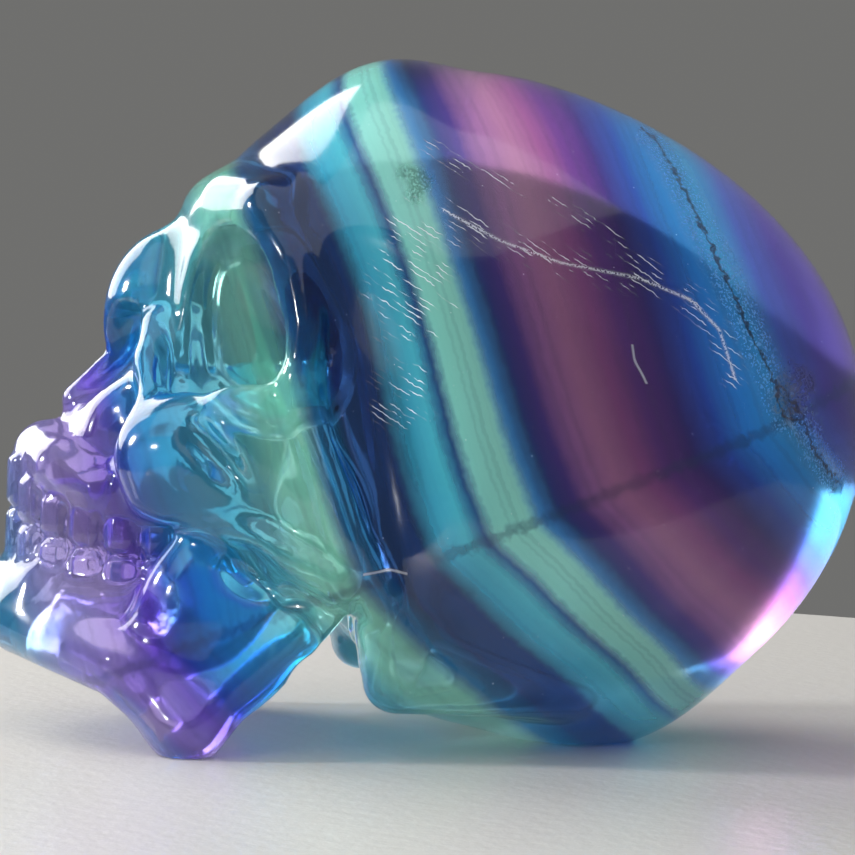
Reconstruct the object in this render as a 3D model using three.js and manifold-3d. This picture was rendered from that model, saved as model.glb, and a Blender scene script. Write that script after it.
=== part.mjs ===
// A human skull carved from one block of banded fluorite and polished, a palm stone 53 mm long.
// It is one solid: braincase, face, teeth and lower jaw were all cut from the same piece of stone.
// Frame: millimetres, +Z up. The face looks along -Y and a little up, the skull's own left is +X,
// and the plane X = 0 is its middle. It rests on Z = 0 at the two angles of the jaw and on the
// underside of the back of the head, where the stone is ground to small flats.
//
// The form is a distance field: eggs, rods and blocks joined and carved with rounded edges.
// The field's zero surface is meshed with tetrahedra, thinned to few triangles, and ground flat below.
import * as THREE from "three";
import { mergeVertices } from "three/addons/utils/BufferGeometryUtils.js";
import Module from "manifold-3d";

const TRIANGLE_BUDGET = 9400;
const MESH_STEP = 0.5;
const FIELD_BOX = { low: [-17, -29, -2], high: [17, 28, 43.5] };
const CENTRE_Y = 0.08; // middle of the stone's length in the frame its forms are placed in
const GRINDER = { width: 100, depth: 20 };
const STONE = { color: 0x2f5fc4, roughness: 0.08, metalness: 0 };

// Dental arch: half an ellipse seen from above, with the teeth standing along it.
const ARCH = { back: -16.1, halfWidth: 6.4, depth: 8.2, teethPerSide: 6, toothWidth: 2.06, step: 0.01 };
const TOOTH = { fill: 0.92, thick: 1.7, round: 0.6, soft: 0.25 };
const UPPER_TEETH = { frontHeight: 3.4, backHeight: 2.2, frontZ: 15.4, backZ: 12 };
const LOWER_TEETH = { frontHeight: 3.5, backHeight: 2.2, frontZ: 11.9, backZ: 9.7 };

// Thinning: how much an edge's length counts, how far a joined corner may go, and how much a face may turn.
const THIN = { lengthWeight: 1e-5, reach: 2, leastDeterminant: 1e-6, leastCosine: 0.3, leastArea: 1e-3 };

// Distance to an egg (an ellipsoid) with three radii, tilted about X and turned about Z, in degrees.
function egg(at, radii, tilt = 0, turn = 0) {
  const euler = new THREE.Euler(THREE.MathUtils.degToRad(tilt), 0, THREE.MathUtils.degToRad(turn), "ZYX");
  const turned = new THREE.Matrix4().makeRotationFromEuler(euler);
  const back = new THREE.Matrix3().setFromMatrix4(turned.transpose()).elements;
  const [rx, ry, rz] = radii;
  return (x, y, z) => {
    const px = x - at[0];
    const py = y - at[1];
    const pz = z - at[2];
    const u = (back[0] * px + back[3] * py + back[6] * pz) / rx;
    const v = (back[1] * px + back[4] * py + back[7] * pz) / ry;
    const w = (back[2] * px + back[5] * py + back[8] * pz) / rz;
    const near = Math.hypot(u, v, w);
    const slope = Math.hypot(u / rx, v / ry, w / rz);
    return slope < 1e-9 ? -Math.min(rx, ry, rz) : (near * (near - 1)) / slope;
  };
}

// Distance to a rod that runs through several points, each [x, y, z, radius].
function rod(...points) {
  const legs = points.slice(1).map((b, i) => {
    const a = points[i];
    const along = [b[0] - a[0], b[1] - a[1], b[2] - a[2]];
    return { a, along, square: along.reduce((s, c) => s + c * c, 0), swell: b[3] - a[3] };
  });
  return (x, y, z) => {
    let least = Infinity;
    for (const { a, along, square, swell } of legs) {
      const px = x - a[0];
      const py = y - a[1];
      const pz = z - a[2];
      const reach = (px * along[0] + py * along[1] + pz * along[2]) / square;
      const t = Math.min(1, Math.max(0, reach));
      const gap = Math.hypot(px - along[0] * t, py - along[1] * t, pz - along[2] * t);
      least = Math.min(least, gap - a[3] - swell * t);
    }
    return least;
  };
}

// Distance to a block with rounded edges, given by half its sizes and turned about Z, in radians.
function block(at, half, round, turn) {
  const c = Math.cos(turn);
  const s = Math.sin(turn);
  return (x, y, z) => {
    const px = x - at[0];
    const py = y - at[1];
    const qx = Math.abs(c * px + s * py) - half[0] + round;
    const qy = Math.abs(c * py - s * px) - half[1] + round;
    const qz = Math.abs(z - at[2]) - half[2] + round;
    const beyond = Math.hypot(Math.max(qx, 0), Math.max(qy, 0), Math.max(qz, 0));
    return beyond + Math.min(Math.max(qx, qy, qz), 0) - round;
  };
}

// The smaller of two distances, with the seam rounded over a width of soft.
function roundMin(a, b, soft) {
  const h = Math.max(soft - Math.abs(a - b), 0) / soft;
  return Math.min(a, b) - (h * h * soft) / 4;
}

const merge = (one, other, soft) => (x, y, z) => roundMin(one(x, y, z), other(x, y, z), soft);
const across = (shape) => (x, y, z) => shape(0, y, z);
const outside = (shape) => (x, y, z) => -shape(x, y, z);
const add = (shape, soft) => ({ shape, soft, sign: 1 });
const carve = (shape, soft) => ({ shape, soft, sign: -1 });

const braincase = [
  add(egg([0, 4.1, 20.3], [16.6, 21.4, 18.65], -40.6), 1),
  add(egg([0, 6.8, 19.3], [16.8, 19.75, 17.3]), 3),
  add(egg([0, -2.7, 32], [11.4, 6.5, 8.45]), 2), // forehead
  add(egg([0, 10.2, 8.35], [9, 8.35, 8.8]), 2.5), // underside of the back of the head
  carve(outside(egg([0, 6, 16], [15.4, 44, 44])), 1.2), // flat polished on each side
  carve(egg([19.2, -5.5, 20.8], [7.6, 4.4, 13.4], 11), 2.6), // temple
];

const browAndNose = [
  add(egg([0, -9.9, 23.8], [9, 4.6, 8.8], 14), 2.5), // middle of the face
  add(rod([0, -13.2, 31.2, 1.6], [4.6, -12.6, 31.6, 1.5], [8.4, -10.6, 31, 1.5]), 2),
  add(rod([8.4, -10.6, 31, 1.4], [10.9, -9.2, 28.2, 1.1], [12, -8.5, 24.6, 0.9], [12, -8.8, 21.4, 0.9]), 0.9),
  add(egg([0, -15.2, 24.6], [3.4, 4.5, 5.6]), 1.4), // bridge of the nose
  add(rod([3.3, -16, 23.8, 1.1], [4.2, -16.6, 20.4, 1.5], [5, -18.2, 17.4, 1.8]), 1.4),
  add(egg([0, -16.4, 17.4], [6.8, 5.2, 4.8]), 1.6), // upper jaw
  add(rod([0, -19.3, 21, 1.2], [0, -20.9, 19.6, 1.1]), 0.8), // spine under the nose
];

const cheekFront = rod(
  [3.6, -16.6, 24.2, 0.8],
  [5.3, -17, 22.4, 0.9],
  [6.9, -17.2, 19.8, 1],
  [8.3, -17.4, 16.6, 1.1],
  [8.8, -16.7, 14.7, 1.2],
);
const archTop = rod(
  [12, -8.8, 21.6, 0.9],
  [12.7, -8.2, 19.2, 0.9],
  [13.4, -6.8, 15.8, 0.9],
  [13.6, -5.6, 12.6, 1],
  [12.6, -4, 9.6, 1.4],
);
const archFoot = rod(
  [9.4, -15.6, 14.3, 1.1],
  [11, -12.2, 13.4, 1],
  [12.4, -9.4, 11.8, 1],
  [13, -6.4, 10.4, 1.3],
);
const cheeks = [
  add(cheekFront, 0.8),
  add(egg([8.6, -14.2, 16.8], [2.9, 4.4, 3.8]), 1.6),
  add(egg([10.6, -10.8, 17.2], [2.1, 3.6, 4.4], 10), 1.8),
  add(archTop, 0.7),
  add(archFoot, 0.9),
  add(egg([12, -7, 14], [1.6, 2.2, 4], 24), 1), // arch between its two edges
];

const upperGum = rod(
  [6, -16.4, 14.2, 1.7],
  [5.3, -19.6, 14.6, 1.7],
  [3.4, -21.8, 15.7, 1.9],
  [0, -22.7, 16.3, 2.1],
);
const lowerGum = rod(
  [6.2, -16.4, 8, 1.7],
  [5.4, -19.8, 8.2, 1.7],
  [3.6, -22.4, 8.9, 1.8],
  [0, -23.6, 9.6, 1.8],
);
const mouth = [
  add(upperGum, 1.2),
  add(egg([0, -16.2, 12.6], [6.35, 8.3, 5.2], 12), 1.2), // stone behind the teeth
  add(lowerGum, 1.2),
];

const jawAngle = [10.3, -14.4, 1.6, 1.75];
const jawEdge = rod(
  jawAngle,
  [8.3, -18.2, 4.9, 2],
  [5.8, -21.8, 6, 1.9],
  [3.2, -23.9, 6.6, 1.9],
  [0, -24.4, 6.8, 1.9],
);
const lowerJaw = [
  add(rod([11.2, -6.2, 9, 1.3], [10.8, -8.8, 6.5, 1.4], [10.6, -11, 4.5, 1.5], jawAngle), 1),
  add(egg([9.4, -11.6, 8], [1.9, 4.6, 5], -20), 1.8),
  add(egg([9, -13.4, 7.4], [2.1, 4, 5.2]), 1.4),
  add(egg([10.6, -7.4, 12], [1.5, 2.8, 3.2]), 1.4),
  add(jawEdge, 2),
  add(egg([0, -24, 7.2], [4, 2, 2.4]), 1.2), // chin
];

const earAndBase = [
  add(rod([11.2, -3.3, 7.2, 1.9], [10.4, -2.5, 4.7, 2.1], [9.4, 1.8, 4.4, 2], [8, 7, 4.4, 1.9]), 1.6),
];

const eyeSocket = merge(
  egg([7.5, -10, 22.6], [4.1, 5, 4.8], 0, -20),
  egg([6.9, -11.4, 26.4], [2.9, 3.6, 3.8], 0, -20),
  2.2,
);
const cheekGroove = rod(
  [11.6, -14.3, 18.2, 0.8],
  [12.3, -12.9, 16.6, 0.9],
  [12.9, -11.8, 15.2, 0.6],
  [13.9, -9.9, 14.2, 0.4],
);
const throat = across(rod([0, -5.5, 8, 0.3], [0, -6.1, 6, 1], [0, -6.7, 4, 2], [0, -7, 1, 3.8]));
const hollows = [
  carve(egg([13, -11.4, 10.5], [3, 2.3, 1.5], -38), 0.4), // gap under the arch
  carve(cheekGroove, 0.8),
  carve(eyeSocket, 1.1),
  carve(egg([1.9, -19.2, 22.5], [1.4, 2.1, 3.6], -40), 0.5), // nose opening, each side of its wall
  carve(egg([6.3, -19.8, 19.2], [1.5, 2.4, 2.8]), 1.2), // hollow beside the nose
  carve(egg([0, -14.5, 1.2], [6.8, 9, 6.6]), 1.2), // between the jaw's two sides
  carve(throat, 0.6), // open from side to side
  carve(egg([0, -6.4, 3.6], [8.8, 4.8, 5.6]), 1.2), // hollow base between the ears
];

// Chips on the skull's left only, where a crack meets the back of the head.
const chips = [
  carve(egg([13.3, 19.9, 21.1], [1, 1.1, 1.3]), 0.3),
  carve(rod([13.5, 19.3, 20.4, 0.5], [12.4, 21.2, 18.4, 0.6], [9.2, 23.7, 16.2, 0.4]), 0.3),
];

// One tooth every tooth's width along the arch, mirrored by the field's own symmetry.
function teeth({ frontHeight, backHeight, frontZ, backZ }) {
  const { back, halfWidth, depth, teethPerSide, toothWidth, step } = ARCH;
  const row = [];
  let angle = 0;
  let travelled = 0;
  for (let i = 0; i < teethPerSide; i++) {
    while (travelled < (i + 0.5) * toothWidth) {
      travelled += step * Math.hypot(halfWidth * Math.cos(angle), depth * Math.sin(angle));
      angle += step;
    }
    const rear = Math.sin(angle);
    const at = [halfWidth * rear, back - depth * Math.cos(angle), frontZ + (backZ - frontZ) * rear];
    const along = Math.atan2(depth * rear, halfWidth * Math.cos(angle));
    const height = frontHeight + (backHeight - frontHeight) * rear;
    const half = [(toothWidth * TOOTH.fill) / 2, TOOTH.thick / 2, height / 2];
    row.push(add(block(at, half, TOOTH.round, along), TOOTH.soft));
  }
  return row;
}

const mirroredForms = [
  ...braincase,
  ...browAndNose,
  ...cheeks,
  ...mouth,
  ...lowerJaw,
  ...earAndBase,
  ...hollows,
  ...teeth(UPPER_TEETH),
  ...teeth(LOWER_TEETH),
];

// Signed distance to the stone's surface, negative inside.
function field(x, y, z) {
  let distance = Infinity;
  const apply = ({ shape, soft, sign }, side) => {
    distance = sign * roundMin(sign * distance, shape(side, y, z), soft);
  };
  for (const form of mirroredForms) apply(form, Math.abs(x));
  for (const form of chips) apply(form, x);
  return distance;
}

// Corner numbers of the six tetrahedra that fill a cube around its diagonal, one bit for each axis.
const TETRAHEDRA = [
  [0, 1, 3, 7],
  [0, 1, 5, 7],
  [0, 2, 3, 7],
  [0, 2, 6, 7],
  [0, 4, 5, 7],
  [0, 4, 6, 7],
];

// Meshes the zero surface of a field in a box. Neighbouring tetrahedra share whole faces, so it's closed.
function surfaceOf(distanceAt, { low, high }, step) {
  const count = low.map((l, i) => Math.ceil((high[i] - l) / step) + 1);
  const jump = [1, count[0], count[0] * count[1]];
  const corner = [...Array(8).keys()].map((c) => (c & 1) + ((c >> 1) & 1) * jump[1] + (c >> 2) * jump[2]);
  const value = new Float64Array(count[0] * count[1] * count[2]);
  const place = (n) => [
    low[0] + step * (n % count[0]),
    low[1] + step * (Math.floor(n / jump[1]) % count[1]),
    low[2] + step * Math.floor(n / jump[2]),
  ];
  for (let n = 0; n < value.length; n++) value[n] = distanceAt(...place(n)) || 1e-9;

  const points = [];
  const faces = [];
  const crossings = new Map();
  const crossing = (a, b) => {
    const [from, to] = a < b ? [a, b] : [b, a];
    const key = from * 8 + corner.indexOf(to - from);
    if (!crossings.has(key)) {
      const share = THREE.MathUtils.clamp(value[from] / (value[from] - value[to]), 0.04, 0.96);
      const start = place(from);
      const end = place(to);
      crossings.set(key, points.length / 3);
      points.push(...start.map((s, i) => s + (end[i] - s) * share));
    }
    return crossings.get(key);
  };
  const middle = (corners) => {
    const sum = [0, 0, 0];
    for (const c of corners) place(c).forEach((p, i) => (sum[i] += p / corners.length));
    return new THREE.Vector3(...sum);
  };
  const face = (a, b, c, outward) => {
    const [p, q, r] = [a, b, c].map((n) => new THREE.Vector3(...points.slice(3 * n, 3 * n + 3)));
    const normal = q.sub(p).cross(r.sub(p));
    faces.push(...(normal.dot(outward) > 0 ? [a, b, c] : [a, c, b]));
  };
  for (let k = 0; k < count[2] - 1; k++)
    for (let j = 0; j < count[1] - 1; j++)
      for (let i = 0; i < count[0] - 1; i++) {
        const base = i + j * jump[1] + k * jump[2];
        const inCube = corner.filter((c) => value[base + c] < 0).length;
        if (inCube === 0 || inCube === 8) continue;
        for (const tetrahedron of TETRAHEDRA) {
          const all = tetrahedron.map((c) => base + corner[c]);
          const inside = all.filter((c) => value[c] < 0);
          const outside = all.filter((c) => value[c] >= 0);
          if (!inside.length || !outside.length) continue;
          const outward = middle(outside).sub(middle(inside));
          const cut = inside.flatMap((a) => outside.map((b) => crossing(a, b)));
          face(cut[0], cut[1], cut[2], outward);
          if (cut.length === 4) face(cut[1], cut[3], cut[2], outward);
        }
      }
  return { points, faces };
}

// Thins a closed mesh to a number of triangles by joining the two ends of the edge whose loss moves
// the surface least, measured by each corner's squared distance to the planes that met there.
function thin({ points, faces }, budget) {
  const at = Float64Array.from(points);
  const corners = Int32Array.from(faces);
  const alive = new Uint8Array(corners.length / 3).fill(1);
  const cost = new Float64Array((at.length / 3) * 10);
  const around = Array.from({ length: at.length / 3 }, () => []);
  const stamp = new Int32Array(at.length / 3);
  const normalOf = (a, b, c) => {
    const [ux, uy, uz] = a.map((at, i) => b[i] - at);
    const [vx, vy, vz] = a.map((at, i) => c[i] - at);
    return [uy * vz - uz * vy, uz * vx - ux * vz, ux * vy - uy * vx];
  };
  const spot = (v) => [at[3 * v], at[3 * v + 1], at[3 * v + 2]];
  for (let f = 0; f < alive.length; f++) {
    const three = [corners[3 * f], corners[3 * f + 1], corners[3 * f + 2]];
    const n = normalOf(...three.map(spot));
    const size = Math.hypot(...n) || 1e-12;
    const [a, b, c] = n.map((x) => x / size);
    const p = spot(three[0]);
    const d = -(a * p[0] + b * p[1] + c * p[2]);
    const plane = [a * a, a * b, a * c, a * d, b * b, b * c, b * d, c * c, c * d, d * d];
    for (const v of three) {
      around[v].push(f);
      plane.forEach((x, i) => (cost[10 * v + i] += x * size));
    }
  }
  const error = (q, [x, y, z]) =>
    q[0] * x * x + 2 * q[1] * x * y + 2 * q[2] * x * z + 2 * q[3] * x + q[4] * y * y +
    2 * q[5] * y * z + 2 * q[6] * y + q[7] * z * z + 2 * q[8] * z + q[9];
  const bestSpot = (a, b) => {
    const q = Array.from({ length: 10 }, (_, i) => cost[10 * a + i] + cost[10 * b + i]);
    const [pa, pb] = [spot(a), spot(b)];
    const candidates = [pa, pb, pa.map((x, i) => (x + pb[i]) / 2)];
    const c00 = q[4] * q[7] - q[5] * q[5];
    const c01 = q[2] * q[5] - q[1] * q[7];
    const c02 = q[1] * q[5] - q[2] * q[4];
    const det = q[0] * c00 + q[1] * c01 + q[2] * c02;
    if (Math.abs(det) > THIN.leastDeterminant) {
      const c11 = q[0] * q[7] - q[2] * q[2];
      const c12 = q[1] * q[2] - q[0] * q[5];
      const c22 = q[0] * q[4] - q[1] * q[1];
      const solved = [
        -(c00 * q[3] + c01 * q[6] + c02 * q[8]) / det,
        -(c01 * q[3] + c11 * q[6] + c12 * q[8]) / det,
        -(c02 * q[3] + c12 * q[6] + c22 * q[8]) / det,
      ];
      const moved = Math.hypot(...solved.map((x, i) => x - candidates[2][i]));
      if (moved < THIN.reach) candidates.unshift(solved);
    }
    let best = null;
    for (const spotted of candidates) {
      const e = Math.max(0, error(q, spotted));
      if (!best || e < best.error - 1e-12) best = { spot: spotted, error: e };
    }
    // A little of the edge's length is added, so that flat places thin evenly.
    best.error += THIN.lengthWeight * pa.reduce((s, x, i) => s + (x - pb[i]) ** 2, 0);
    return best;
  };

  const heap = [];
  const less = (i, j) => heap[i].error < heap[j].error;
  const swap = (i, j) => ([heap[i], heap[j]] = [heap[j], heap[i]]);
  const push = (entry) => {
    let i = heap.push(entry) - 1;
    while (i && less(i, (i - 1) >> 1)) {
      swap(i, (i - 1) >> 1);
      i = (i - 1) >> 1;
    }
  };
  const pop = () => {
    swap(0, heap.length - 1);
    const top = heap.pop();
    for (let i = 0; ; ) {
      let least = i;
      for (const child of [2 * i + 1, 2 * i + 2]) {
        if (child < heap.length && less(child, least)) least = child;
      }
      if (least === i) return top;
      swap(i, least);
      i = least;
    }
  };
  const offer = (a, b) => push({ a, b, ...bestSpot(a, b), marks: stamp[a] + stamp[b] });
  const neighbours = (v) => {
    const found = new Set();
    for (const f of around[v]) for (let i = 0; i < 3; i++) found.add(corners[3 * f + i]);
    found.delete(v);
    return found;
  };
  const turnsOver = (v, other, to) =>
    around[v].some((f) => {
      const three = [corners[3 * f], corners[3 * f + 1], corners[3 * f + 2]];
      if (three.includes(other)) return false;
      const before = normalOf(...three.map(spot));
      const after = normalOf(...three.map((c) => (c === v ? to : spot(c))));
      const dot = before[0] * after[0] + before[1] * after[1] + before[2] * after[2];
      const area = Math.hypot(...after);
      return dot < THIN.leastCosine * Math.hypot(...before) * area || area < THIN.leastArea;
    });

  for (let v = 0; v < around.length; v++) for (const n of neighbours(v)) if (v < n) offer(v, n);
  let left = alive.length;
  while (left > budget && heap.length) {
    const { a, b, spot: to, marks } = pop();
    if (!around[a].length || !around[b].length || marks !== stamp[a] + stamp[b]) continue;
    const near = neighbours(a);
    const shared = [...neighbours(b)].filter((n) => near.has(n));
    if (!near.has(b) || shared.length !== 2 || turnsOver(a, b, to) || turnsOver(b, a, to)) continue;
    for (const f of around[b]) {
      const slot = [0, 1, 2].find((i) => corners[3 * f + i] === b);
      if ([0, 1, 2].some((i) => corners[3 * f + i] === a)) {
        alive[f] = 0;
        left--;
        for (let i = 0; i < 3; i++) {
          const c = corners[3 * f + i];
          if (c !== b) around[c] = around[c].filter((g) => g !== f);
        }
      } else {
        corners[3 * f + slot] = a;
        around[a].push(f);
      }
    }
    around[b] = [];
    at.set(to, 3 * a);
    for (let i = 0; i < 10; i++) cost[10 * a + i] += cost[10 * b + i];
    stamp[a] += 1;
    stamp[b] += 1;
    for (const n of neighbours(a)) offer(a, n);
  }
  const kept = [];
  alive.forEach((on, f) => on && kept.push(corners[3 * f], corners[3 * f + 1], corners[3 * f + 2]));
  return { points: Array.from(at), faces: kept };
}

function geometryOf({ points, faces }) {
  const geometry = new THREE.BufferGeometry();
  geometry.setAttribute("position", new THREE.Float32BufferAttribute(points, 3));
  geometry.setIndex(faces);
  return geometry;
}

// Grinds away what lies below Z = 0, which leaves the flats that the stone rests on.
async function grindFlat(geometry) {
  const wasm = await Module();
  wasm.setup();
  const solidOf = (g) => {
    const merged = mergeVertices(g.index ? g.toNonIndexed() : g, 1e-4);
    return new wasm.Manifold(
      new wasm.Mesh({
        numProp: 3,
        vertProperties: merged.attributes.position.array,
        triVerts: new Uint32Array(merged.index.array),
      }),
    );
  };
  const { width, depth } = GRINDER;
  const slab = new THREE.BoxGeometry(width, width, depth).translate(0, 0, -depth / 2);
  slab.deleteAttribute("normal");
  slab.deleteAttribute("uv");
  const ground = solidOf(geometry).subtract(solidOf(slab)).getMesh();
  return geometryOf({ points: [...ground.vertProperties], faces: [...ground.triVerts] });
}

const thinned = geometryOf(thin(surfaceOf(field, FIELD_BOX, MESH_STEP), TRIANGLE_BUDGET));
const geometry = await grindFlat(thinned.translate(0, -CENTRE_Y, 0));
geometry.computeVertexNormals();

const skull = new THREE.Mesh(geometry, new THREE.MeshStandardMaterial(STONE));
skull.name = "carved_skull";
const group = new THREE.Group();
group.add(skull);
export default group;
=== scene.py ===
"""A human skull carved from one block of colour-banded fluorite, on a pale studio floor.

The stone's form is a distance field: rounded forms, joined and carved with soft edges, and meshed on a
fine grid. Its colours are growth zones, layers through the whole block, so that every face that is cut
shows them where they pass.
"""

import math

import bpy
import numpy as np
from mathutils import Matrix, Vector


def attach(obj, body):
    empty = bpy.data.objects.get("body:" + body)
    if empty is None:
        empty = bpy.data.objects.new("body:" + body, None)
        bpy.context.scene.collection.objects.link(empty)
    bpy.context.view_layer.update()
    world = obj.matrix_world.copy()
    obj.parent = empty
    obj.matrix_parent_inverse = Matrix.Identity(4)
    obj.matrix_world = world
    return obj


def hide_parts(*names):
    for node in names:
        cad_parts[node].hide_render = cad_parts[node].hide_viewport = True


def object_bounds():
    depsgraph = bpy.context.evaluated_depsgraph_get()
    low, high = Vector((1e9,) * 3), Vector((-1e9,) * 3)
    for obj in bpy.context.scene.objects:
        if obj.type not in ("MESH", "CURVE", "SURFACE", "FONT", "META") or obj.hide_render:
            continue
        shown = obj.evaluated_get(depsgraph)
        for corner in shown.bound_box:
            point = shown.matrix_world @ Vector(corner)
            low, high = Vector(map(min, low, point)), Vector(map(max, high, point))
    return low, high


bl_info = {
    "name": "Carved fluorite skull",
    "version": (1, 0, 0),
    "blender": (4, 5, 0),
    "location": "View3D > Sidebar > Fluorite",
    "description": "Builds a banded fluorite skull with its studio",
    "category": "Object",
}

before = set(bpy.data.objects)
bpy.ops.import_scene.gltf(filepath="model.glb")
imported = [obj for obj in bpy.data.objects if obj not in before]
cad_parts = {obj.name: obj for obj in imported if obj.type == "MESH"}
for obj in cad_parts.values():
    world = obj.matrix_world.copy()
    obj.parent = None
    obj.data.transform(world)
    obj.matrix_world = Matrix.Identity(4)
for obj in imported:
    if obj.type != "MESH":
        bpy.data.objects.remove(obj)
CAD_LOW, CAD_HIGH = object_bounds()

MM = 0.001
CAD_NODE = "carved_skull"

# The stone's field and its mesh, in mm.
CENTRE_Y = 0.08  # from the forms' own origin to the middle of the stone
FIELD_LOW = (-17.0, -29.0, -2.0)  # a box round the whole stone
FIELD_HIGH = (17.0, 28.0, 43.5)
FAR_OUTSIDE = 1000.0
TINY = 1e-9
SETTLE_ROUNDS = 2
SLOPE_REACH = 0.05  # distance to each side over which the field's slope is taken
FURTHEST_MOVE = 0.1  # of a point in one round of settling
LEAST_STEEPNESS = 0.2  # the slope's square counts as this at least, so that no point is thrown off

# Dental arch: half an ellipse seen from above, with the teeth standing along it, in mm.
ARCH_BACK = -16.1
ARCH_HALF_WIDTH = 6.4
ARCH_DEPTH = 8.2
ARCH_STEP = 0.01  # radians
TEETH_PER_SIDE = 6
TOOTH_WIDTH = 2.06
TOOTH_THICK = 1.7
TOOTH_FILL = 0.92  # share of its place along the arch that a tooth fills
TOOTH_ROUND = 0.6
TOOTH_SOFT = 0.25
UPPER_ROW = {"front_height": 3.4, "back_height": 2.2, "front_z": 15.4, "back_z": 12.0}
LOWER_ROW = {"front_height": 3.5, "back_height": 2.2, "front_z": 11.9, "back_z": 9.7}


def turned_back(tilt, turn):
    """Matrix that undoes a tilt about X and then a turn about Z, in degrees."""
    tilted = Matrix.Rotation(math.radians(tilt), 3, "X")
    turned = Matrix.Rotation(math.radians(turn), 3, "Z")
    return np.array((turned @ tilted).transposed())


def egg(at, radii, tilt=0, turn=0):
    """Distance to an ellipsoid with three radii."""
    back = turned_back(tilt, turn)

    def distance(x, y, z):
        point = (x - at[0], y - at[1], z - at[2])
        local = [sum(back[row, k] * point[k] for k in range(3)) / radii[row] for row in range(3)]
        near = np.sqrt(sum(c * c for c in local))
        slope = np.sqrt(sum((c / r) ** 2 for c, r in zip(local, radii)))
        return np.where(slope < TINY, -min(radii), near * (near - 1) / np.maximum(slope, TINY))

    return distance


def rod(*points):
    """Distance to a rod that runs through several points, each (x, y, z, radius)."""

    def distance(x, y, z):
        least = None
        for a, b in zip(points, points[1:]):
            along = [b[k] - a[k] for k in range(3)]
            point = (x - a[0], y - a[1], z - a[2])
            reach = sum(p * c for p, c in zip(point, along)) / sum(c * c for c in along)
            t = np.clip(reach, 0, 1)
            gap = np.sqrt(sum((p - c * t) ** 2 for p, c in zip(point, along))) - a[3] - (b[3] - a[3]) * t
            least = gap if least is None else np.minimum(least, gap)
        return least

    return distance


def block(at, half, rounding, turn):
    """Distance to a block with rounded edges, given by half its sizes and turned about Z, in degrees."""
    back = turned_back(0, turn)

    def distance(x, y, z):
        point = (x - at[0], y - at[1], z - at[2])
        past = [
            np.abs(sum(back[row, k] * point[k] for k in range(3))) - half[row] + rounding for row in range(3)
        ]
        beyond = np.sqrt(sum(np.maximum(c, 0) ** 2 for c in past))
        return beyond + np.minimum(np.maximum(np.maximum(past[0], past[1]), past[2]), 0) - rounding

    return distance


def round_min(a, b, soft):
    """The smaller of two distances, with the seam rounded over a width of soft."""
    h = np.maximum(soft - np.abs(a - b), 0) / soft
    return np.minimum(a, b) - h * h * soft / 4


def merge(one, other, soft):
    """Two shapes as one, with a rounded seam."""
    return lambda x, y, z: round_min(one(x, y, z), other(x, y, z), soft)


def across(shape):
    """A shape's section at X = 0, swept from side to side."""
    return lambda x, y, z: shape(0 * x, y, z)


def outside(shape):
    """Everything but a shape."""
    return lambda x, y, z: -shape(x, y, z)


def add(shape, soft):
    """A form that is joined on."""
    return shape, soft, 1


def carve(shape, soft):
    """A form that is cut away."""
    return shape, soft, -1


# The skull's forms in mm: +X is its left and -Y its face. They are mirrored to its right.
braincase = [
    add(egg((0, 4.1, 20.3), (16.6, 21.4, 18.65), -40.6), 1),
    add(egg((0, 6.8, 19.3), (16.8, 19.75, 17.3)), 3),
    add(egg((0, -2.7, 32), (11.4, 6.5, 8.45)), 2),  # forehead
    add(egg((0, 10.2, 8.35), (9, 8.35, 8.8)), 2.5),  # underside of the back of the head
    carve(outside(egg((0, 6, 16), (15.4, 44, 44))), 1.2),  # flat polished on each side
    carve(egg((19.2, -5.5, 20.8), (7.6, 4.4, 13.4), 11), 2.6),  # temple
]

brow = rod(
    (0, -13.2, 31.2, 1.6),
    (4.6, -12.6, 31.6, 1.5),
    (8.4, -10.6, 31, 1.5),
)
socket_rim = rod(
    (8.4, -10.6, 31, 1.4),
    (10.9, -9.2, 28.2, 1.1),
    (12, -8.5, 24.6, 0.9),
    (12, -8.8, 21.4, 0.9),
)
nose_side = rod(
    (3.3, -16, 23.8, 1.1),
    (4.2, -16.6, 20.4, 1.5),
    (5, -18.2, 17.4, 1.8),
)
brow_and_nose = [
    add(egg((0, -9.9, 23.8), (9, 4.6, 8.8), 14), 2.5),  # middle of the face
    add(brow, 2),
    add(socket_rim, 0.9),
    add(egg((0, -15.2, 24.6), (3.4, 4.5, 5.6)), 1.4),  # bridge of the nose
    add(nose_side, 1.4),
    add(egg((0, -16.4, 17.4), (6.8, 5.2, 4.8)), 1.6),  # upper jaw
    add(rod((0, -19.3, 21, 1.2), (0, -20.9, 19.6, 1.1)), 0.8),  # spine under the nose
]

cheek_front = rod(
    (3.6, -16.6, 24.2, 0.8),
    (5.3, -17, 22.4, 0.9),
    (6.9, -17.2, 19.8, 1),
    (8.3, -17.4, 16.6, 1.1),
    (8.8, -16.7, 14.7, 1.2),
)
arch_top = rod(
    (12, -8.8, 21.6, 0.9),
    (12.7, -8.2, 19.2, 0.9),
    (13.4, -6.8, 15.8, 0.9),
    (13.6, -5.6, 12.6, 1),
    (12.6, -4, 9.6, 1.4),
)
arch_foot = rod(
    (9.4, -15.6, 14.3, 1.1),
    (11, -12.2, 13.4, 1),
    (12.4, -9.4, 11.8, 1),
    (13, -6.4, 10.4, 1.3),
)
cheeks = [
    add(cheek_front, 0.8),
    add(egg((8.6, -14.2, 16.8), (2.9, 4.4, 3.8)), 1.6),
    add(egg((10.6, -10.8, 17.2), (2.1, 3.6, 4.4), 10), 1.8),
    add(arch_top, 0.7),
    add(arch_foot, 0.9),
    add(egg((12, -7, 14), (1.6, 2.2, 4), 24), 1),  # arch between its two edges
]

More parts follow.
